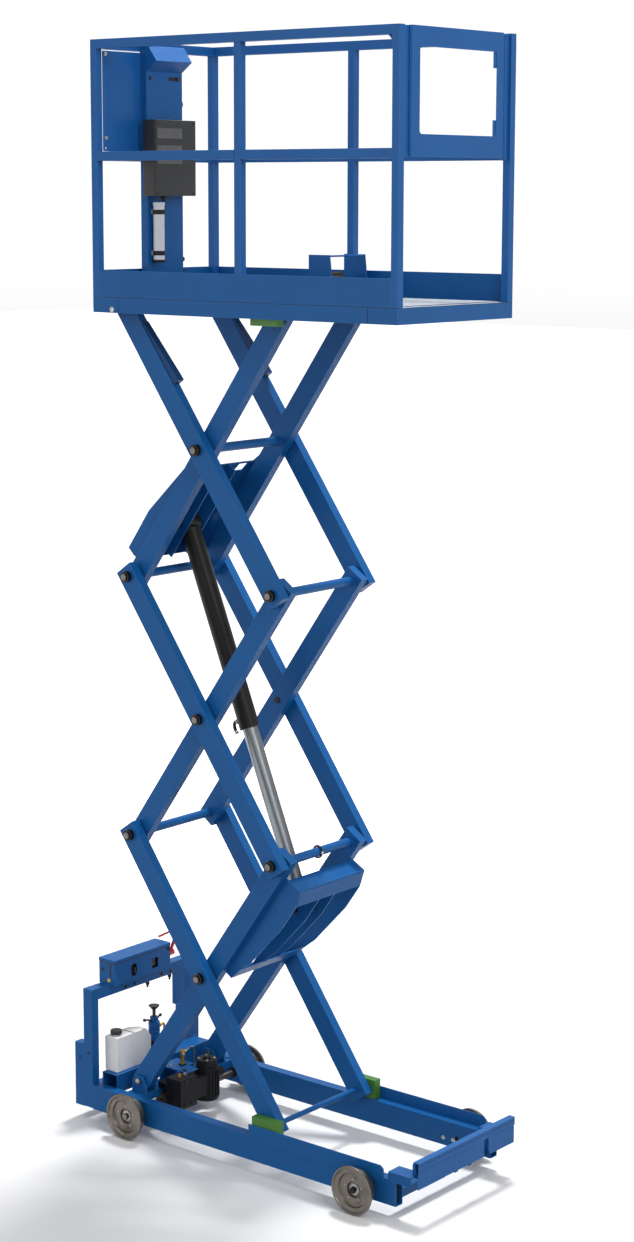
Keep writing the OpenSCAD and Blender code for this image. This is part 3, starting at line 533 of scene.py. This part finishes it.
# split pins through the pin ends
for bd, k, xs in (("inner_arms_1", 0, (ARM / 2, ARM)), ("inner_arms_2", 1, (0, ARM / 2, ARM)), ("inner_arms_3", 2, (0, ARM / 2))):
    for i, xl in enumerate(xs):
        x, z = on_b(k, xl, 0)
        for s in (-1, 1):
            lathe("pin_face_%d_%d_%s" % (k, i, "near" if s < 0 else "far"), bd, "pin_steel", (x, s * (AO + 26.2), z), (0, s, 0),
                  [(0, 0), (11.2, 0), (11.2, 1.6), (10.2, 2.4), (4.2, 2.4), (3.0, 1.3), (0, 1.3)], 36)
            lathe("collar_screw_%d_%d_%s" % (k, i, "near" if s < 0 else "far"), bd, "zinc",
                  (x + 23.6 * math.cos(2.2), s * (AO + 10), z + 23.6 * math.sin(2.2)), (math.cos(2.2), 0, math.sin(2.2)),
                  [(0, 0), (4.2, 0), (4.2, 2.2), (3.4, 3.0), (1.9, 3.0), (1.9, 1.2), (0, 1.2)], 20)

# lower cylinder mount: side bolt on the near plate, and its nut on the far plate
x, z = 102.1, 1173.5
bolt("mount_bolt_near", "inner_arms_1", (x, -228.4, z), (0, -1, 0), 8.5, "blue_bolt")
bolt("mount_bolt_far", "inner_arms_1", (x, 228.4, z), (0, 1, 0), 8.5, "blue_bolt")

# rear control box: lid with its dark gasket line, fittings
prism("box_gasket", "chassis", "rubber", rounded(101.6, 383.6, 3.0, -897.5, -67.0), "z", 743.8, 748.2, 0.3)
prism("box_lid", "chassis", "blue_paint", rounded(105.0, 387.0, 4.0, -897.5, -67.0), "z", 748.2, 763.0, 1.4)
prism("box_rocker", "chassis", "black_plastic", rounded(26.0, 36.0, 3.0, 18.0, 688.0), "x", -868.2, -858.0, 1.0)
prism("box_rocker_frame", "chassis", "rubber", rounded(34.0, 44.0, 4.0, 18.0, 688.0), "x", -868.2, -864.0, 0.8)
prism("box_side_slot", "chassis", "rubber", rounded(9.0, 62.0, 4.0, -874.0, 712.0), "y", -258.9, -257.6, 0.2)
lathe("box_side_hole", "chassis", "rubber", (-922.7, -258.0, 709.1), (0, -1, 0), [(0, 0), (9, 0), (9, 1.0), (7.2, 1.4), (7.2, 0.6), (0, 0.6)], 28)
lathe("box_yellow_fitting", "chassis", "yellow", (-884.0, -257.0, 660.5), (0, -1, 0), [(0, 0), (9.5, 0), (9.5, 2.5), (6.6, 3.2), (6.6, 6.5), (5.6, 7.2), (0, 7.2)], 28)
lathe("box_nub", "chassis", "rubber", (-847.9, 112.0, 735.0), (1, 0, 0), [(0, 0), (8.5, 0), (8.5, 3), (6.5, 6.5), (0, 7.5)], 28)
for i, (yy, zz) in enumerate(((-139.2, 600), (-77.6, 600), (110.1, 600), (173.7, 600))):
    bolt("top_bar_bolt_%d" % i, "chassis", (-889.2, yy, zz), (1, 0, 0), 6.8, "dark_bolt")
for i, (yy, zz) in enumerate(((18.6, 578), (172.9, 578))):
    lathe("top_bar_nub_%d" % i, "chassis", "rubber", (-899.0, yy, 585.6), (0, 0, -1), [(0, 0), (9.5, 0), (9.5, 14), (7.5, 18), (5.0, 19), (5.0, 30), (0, 30)], 24)
# grey ring on top of the far rear post
tube("cable_ring", "chassis", "zinc", [(-917.0 + 20 * math.cos(a), 347.0, 660.0 + 20 * math.sin(a)) for a in [2 * math.pi * i / 12 for i in range(12)]], 4.0, 12, True)
lathe("cable_ring_foot", "chassis", "zinc", (-917.0, 347.0, 639.6), (0, 0, 1), [(0, 0), (11, 0), (11, 2.5), (7, 4), (7, 6), (0, 6)], 24)

# tank: cap ribs, strap, brass outlet
for i in range(20):
    a = 2 * math.pi * i / 20
    x, y = -845 + 25.6 * math.cos(a), -255 + 25.6 * math.sin(a)
    lathe("cap_rib_%02d" % i, "tank_cap", "black_plastic", (x, y, 411.0), (0, 0, 1), [(0, 0), (1.7, 0.6), (1.7, 15.6), (0, 16.2)], 10)
prism("tank_strap", "chassis", "zinc", rounded(80.0, 10.0, 1.0, -841.5, -180.0), "z", 403.0, 404.4, 0.3)
lathe("tank_outlet", "chassis", "brass", (-812.0, -80.0, 262.0), (1, 0, 0), [(0, 0), (10, 8), (10, 20), (7, 22), (7, 32), (0, 32)], 24)

# hand pump: levers, elbow and valve screws
def lever(name, y0, y1, z0, z1, mat="black_plastic"):
    tube(name, "chassis", mat, [(-812.5, y0, z0), (-810.0, (y0 + y1) / 2, (z0 + z1) / 2 + 3), (-806.0, y1, z1)], 4.4, 12)
    lathe(name + "_knob", "chassis", mat, (-806.0, y1, z1), (0, y1 - y0, z1 - z0), [(0, -6), (6.5, -4), (8.0, 2), (6.5, 8), (0, 10)], 20)
lever("pump_lever_left", -50.0, -100.0, 424.0, 442.0)
lever("pump_lever_right", -8.0, 6.0, 424.0, 440.0)
tube("pump_elbow", "chassis", "brass", [(-812.5, 14, 390), (-811, 28, 392), (-808, 34, 384), (-808, 35, 362), (-806, 35, 340)], 6.0, 14)
lathe("pump_elbow_nut", "chassis", "brass", (-812.5, -6.0, 390), (0, 1, 0), [(0, 0), (10, 2), (10, 18), (8, 20), (0, 20)], 6, 0.6)
for i, zz in enumerate((352, 372, 404)):
    lathe("pump_ring_%d" % i, "chassis", "light_blue_paint", (-812.5, -30, zz), (0, 0, 1), [(26.6, 0), (28.4, 0.8), (28.4, 5.2), (26.6, 6)], 40)
bolt("pump_bolt_0", "chassis", (-789.9, -44, 250), (1, 0, 0), 6.0)
bolt("pump_bolt_1", "chassis", (-789.9, -4, 250), (1, 0, 0), 6.0)
tube("suction_pipe", "chassis", "rubber", [(-780.0, -80.0, 262.0), (-768, -78, 262), (-758, -66, 268), (-760, -50, 280), (-778, -36, 288), (-790.5, -32, 290)], 6.4, 14)

# grey pipe, brass accumulator valve and bright plug over the drive
lathe("valve_body", "chassis", "brass", (-634.0, -27.0, 244.0), (0, 0, 1), [(0, 0), (13, 0), (13, 8), (10, 10), (10, 52), (13, 54), (13, 70), (11, 74), (0, 76)], 32, 0.5)
lathe("valve_base", "chassis", "pump_black", (-634.0, -27.0, 243.6), (0, 0, 1), [(0, 0), (20, 0), (20, 5), (0, 5)], 6, 0.8)
lathe("valve_plug", "chassis", "zinc", (-624.5, -33.0, 298.0), (1, -0.3, 0), [(0, 0), (6, 0), (6, 5), (4.5, 7), (0, 7.5)], 6, 0.4)
tube("grey_pipe", "chassis", "rod_grey", [(-634, -17, 300), (-636, 10, 307), (-650, 50, 305), (-668, 86, 290), (-680, 104, 262), (-688, 108, 225), (-690, 106, 173)], 5.0, 12)
bolt("plate_bolt_0", "chassis", (-660, -80, 243.8), (0, 0, 1), 7.0)
bolt("plate_bolt_1", "chassis", (-660, 0, 243.8), (0, 0, 1), 7.0)
bolt("plate_bolt_2", "chassis", (-570, -84, 243.8), (0, 0, 1), 7.0, "dark_bolt")

# motor: cooling fins, cap bolts, terminal box, grey end of the stub
for i in range(22):
    a = 2 * math.pi * i / 22
    if math.sin(a) < -0.80 or math.sin(a) > 0.86:
        continue
    x, y = -542 + 55.8 * math.cos(a), 40 + 55.8 * math.sin(a)
    d = Vector((math.cos(a), math.sin(a), 0))
    t = Vector((-d.y, d.x, 0))
    bm = bmesh.new()
    c = [Vector((x, y, 0)) + d * e + t * w for e, w in ((-2, -2.0), (5.0, -1.1), (5.0, 1.1), (-2, 2.0))]
    lo = [bm.verts.new(Vector((p.x, p.y, 96.0)) * MM) for p in c]
    hi = [bm.verts.new(Vector((p.x, p.y, 226.0)) * MM) for p in c]
    bm.faces.new(lo); bm.faces.new(list(reversed(hi)))
    for k in range(4):
        bm.faces.new((lo[k], hi[k], hi[(k + 1) % 4], lo[(k + 1) % 4]))
    finish_piece("motor_fin_%02d" % i, "chassis", "pump_black", bm, 0.5)
for i in range(4):
    a = math.radians(45 + 90 * i)
    bolt("motor_cap_bolt_%d" % i, "chassis", (-542 + 36 * math.cos(a), 40 + 36 * math.sin(a), 277.6), (0, 0, 1), 5.5, "zinc")
lathe("motor_cap_dome", "chassis", "pump_black", (-542, 40, 277.5), (0, 0, 1), [(0, 0), (20, 0), (18, 8), (10, 12), (0, 13)], 36)
lathe("motor_stub_end", "chassis", "zinc", (-542, 140.0, 190), (0, 1, 0), [(0, 0), (19, 0), (19, 3), (15, 6), (8, 6.5), (6, 4), (0, 4)], 32)
prism("motor_terminal_box", "chassis", "pump_black", rounded(44, 52, 4, -542 + 8, 168), "y", -30.0, -16.0, 1.2)
for i, (yy, zz) in enumerate(((-150, 222), (-110, 222), (-150, 112), (-110, 112))):
    bolt("power_bolt_%d" % i, "chassis", (-496.8, yy, zz), (1, 0, 0), 6.0, "dark_bolt")
lathe("power_port_0", "chassis", "brass", (-540.0, -150.0, 237.6), (0, 0, 1), [(0, 0), (11, 0), (11, 7), (8, 9), (8, 16), (0, 16)], 6, 0.6)
lathe("power_port_1", "chassis", "zinc", (-540.0, -115.0, 237.6), (0, 0, 1), [(0, 0), (10, 0), (10, 6), (7, 8), (7, 13), (0, 13)], 6, 0.6)

# base pivots: bright pin faces, and bolts on the posts and brackets
for s in (-1, 1):
    nm = "near" if s < 0 else "far"
    lathe("base_pin_face_" + nm, "chassis", "zinc", (XR, s * 291.4, Z0), (0, s, 0), [(0, 0), (13.5, 0), (13.5, 1.5), (12.2, 2.6), (0, 2.6)], 36)
    bolt("post_bolt_" + nm, "chassis", (-916, s * 370.2, 330), (0, s, 0), 5.0, "dark_bolt")
    bolt("post_bolt_low_" + nm, "chassis", (-972, s * 370.2, 300), (0, s, 0), 5.0, "dark_bolt")
    for i, xx in enumerate((635.5, 690.5)):
        bolt("beam_bolt_%d_%s" % (i, nm), "chassis", (xx, s * 321.8, 98.0), (0, -s, 0), 7.5)
    # dark rubber sheets set back inside the open front ends of the beams: painted shade in the hollow
    prism("beam_hollow_shade_" + nm, "chassis", "rubber", rounded(39.5, 106.5, 2.0, s * 346.0, 119.5), "x", 868.0, 874.0, 0.8)
    # platform pivot pin faces
    lathe("platform_pin_face_" + nm, "platform", "zinc", (XR, s * 400.2, ZT), (0, s, 0), [(0, 0), (12.5, 0), (12.5, 1.0), (11.0, 2.0), (0, 2.0)], 36)
    # wheel hub nuts with washers
for nm, bd, sx, s in (("near_front", "front_wheel_near", 710.5, -1), ("far_front", "front_wheel_far", 710.5, 1), ("near_rear", "rear_wheelset", -624.5, -1), ("far_rear", "rear_wheelset", -624.5, 1)):
    wy = s * 416.2
    lathe("hub_washer_" + nm, bd, "zinc", (sx, wy, 108), (0, s, 0), [(0, 0.0), (24, 0.0), (24, 2.6), (23, 3.2), (0, 3.2)], 36)
    bolt("hub_nut_" + nm, bd, (sx, wy + s * 3.0, 108), (0, s, 0), 15.0, "dark_bolt", 13.0, False)
    for i in range(5):
        a = math.radians(20 + 72 * i)
        bolt("hub_bolt_%s_%d" % (nm, i), bd, (sx + 48 * math.cos(a), s * 424.2, 108 + 48 * math.sin(a)), (0, s, 0), 4.6, "zinc", 3.6, False)

# platform: panel seams, bolts, column switches, control box panels
for nm, xx in (("rear", -642.0), ("front", 737.0)):
    block("frame_seam_" + nm, "platform", "seam_dark", (xx - 1.2, -398.1, ZT - 13), (xx + 1.2, -397.2, FZ - 5), 0.2, 1)
for i, (xx, zz) in enumerate(((-731.5, 4894.4), (-735.7, 4478.1))):
    bolt("panel_bolt_%d" % i, "platform", (-753.2, -345.0, 4880.8 if i == 0 else 4523.8), (1, 0, 0), 6.5)
lathe("column_lamp", "platform", "rubber", (-718.8, -100.0, TZ - 155), (1, 0, 0), [(0, -2), (8.5, -2), (8.5, 2.2), (7.0, 3.6), (3.0, 4.4), (0, 4.4)], 32)
prism("column_switch", "platform", "rubber", rounded(72, 14, 4, 58.0, TZ - 154), "x", -722.0, -716.6, 0.8)
prism("column_switch_lever", "platform", "black_plastic", rounded(16, 8, 3, 70.0, TZ - 154), "x", -717.0, -704.0, 1.2)
for i, zz in enumerate((3995.2, 3946.2)):
    lathe("column_knob_%d" % i, "platform", "rubber", (-729.0, 107.6, zz), (0, 1, 0), [(0, 0), (6, 0), (6, 4), (10.5, 5), (10.5, 11), (9.0, 13), (0, 13.5)], 28)
prism("panel_upper", "platform", "grey_panel", rounded(160, 44, 3, -62.0, 4547.0), "x", -640.2, -638.2, 0.6)
prism("panel_lower", "platform", "grey_panel", rounded(160, 80, 3, -62.0, 4456.0), "x", -640.2, -638.2, 0.6)
for i, (yy, zz) in enumerate(((-138, TZ - 347), (98, TZ - 347), (-138, TZ - 653), (98, TZ - 653))):
    lathe("case_screw_%d" % i, "platform", "rubber", (-640.4, yy, zz), (1, 0, 0), [(0, 0), (5.5, 0), (5.5, 1.6), (4.4, 2.4), (2.0, 2.4), (1.6, 1.0), (0, 1.0)], 24)
lathe("cable_gland", "platform", "rubber", (-680.0, -60.0, TZ - 664.6), (0, 0, -1), [(0, 0), (14, 0), (14, 10), (11, 12), (9, 22), (0, 22)], 24)
for i, zz in enumerate((FZ + 175, FZ + 355)):
    lathe("tube_clip_%d" % i, "platform", "rubber", (-690, -82, zz), (0, 0, 1), [(25.1, 0), (28.4, 0.8), (28.4, 19.2), (25.1, 20)], 40)
lathe("tube_foot", "platform", "rubber", (-690, -82, FZ + 143.6), (0, 0, 1), [(0, 0), (26.8, 0), (26.8, 11), (25.4, 12.5), (0, 12.5)], 40)
lathe("stop_collar", "platform", "yellow", (-750, 107.8, TZ - 262), (0, 1, 0), [(11.5, 0.4), (21, 0.4), (21, 2.0), (20.0, 2.8), (11.5, 2.8)], 40)

# folded edges that close the sheet metal to the posts
block("gate_fold", "gate", "light_blue_paint", (875.5, -324.0, TZ - 507.0), (885.7, -317.0, TZ - 1.0), 1.0, 2)
block("back_panel_fold", "platform", "light_blue_paint", (-757.6, -361.8, FZ + 628.0), (-754.4, -353.0, TZ - 47.0), 0.6, 2)

# pedal: ribbed rubber pad
for i in range(5):
    t = (i + 0.6) / 5.4
    x, z = 60 + (132 - 60) * t, FZ + 112 + (30 - 112) * t
    block("pedal_rib_%d" % i, "foot_pedal", "rubber", (x - 2.8, 168, z - 2.2), (x + 2.8, 272, z + 2.6), 0.9, 2, math.atan2(82, 72))

# bumper: groove line and tabs under it
for i, (y0, y1) in enumerate(((-76, -54), (22, 46))):
    block("bumper_tab_%d" % i, "chassis", "seam_dark", (984.0, y0, 147.5), (990.6, y1, 158.0), 0.8, 2)
block("bumper_groove", "chassis", "seam_dark", (1002.2, -348, 261.6), (1002.9, 350, 263.6), 0.2, 1)

# hydraulic port fitting with a short stub of hose on the barrel, near its lower end
def cyl_point(t, off):
    """Point t mm along the barrel from its lower end, off mm out on the port's side."""
    ex = (CYL_TOP[0] - CYL_LOW[0], CYL_TOP[1] - CYL_LOW[1])
    l = math.hypot(*ex)
    dx, dz = ex[0] / l, ex[1] / l
    p = (CYL_TOP[0] - dx * (972.0 - t), CYL_TOP[1] - dz * (972.0 - t))
    n = PORT_SIGN
    return (p[0] - dz * off * n, 0.0, p[1] + dx * off * n), (-dz * n, 0.0, dx * n), (dx, 0.0, dz)
CYL_TOP = on_b(2, 225, 60)
CYL_LOW = on_b(0, 1186, -90)
PORT_SIGN = 1.0
pc_, pn_, pd_ = cyl_point(45.0, 55.0)
lathe("port_fitting", "cylinder_barrel", "zinc", pc_, pn_, [(0, 0), (13.5, 0), (13.5, 9), (11.5, 11), (0, 11)], 6, 0.7)
q = [Vector(pc_) + Vector(pn_) * a + Vector(pd_) * b for a, b in ((9, 0), (20, 2), (30, -8), (34, -26), (30, -46))]
tube("port_hose", "cylinder_barrel", "rubber", [tuple(v) for v in q], 7.6, 16)
lathe("port_hose_end", "cylinder_barrel", "zinc", tuple(q[-1]), tuple(q[-1] - q[-2]), [(0, -9), (9.2, -8), (9.2, 4), (7.6, 6), (0, 6)], 24)
# point and directions at the barrel's mouth, where the wiper ring and gland nut sit
g_, gn_, gd_ = cyl_point(-3.0, 0.0)
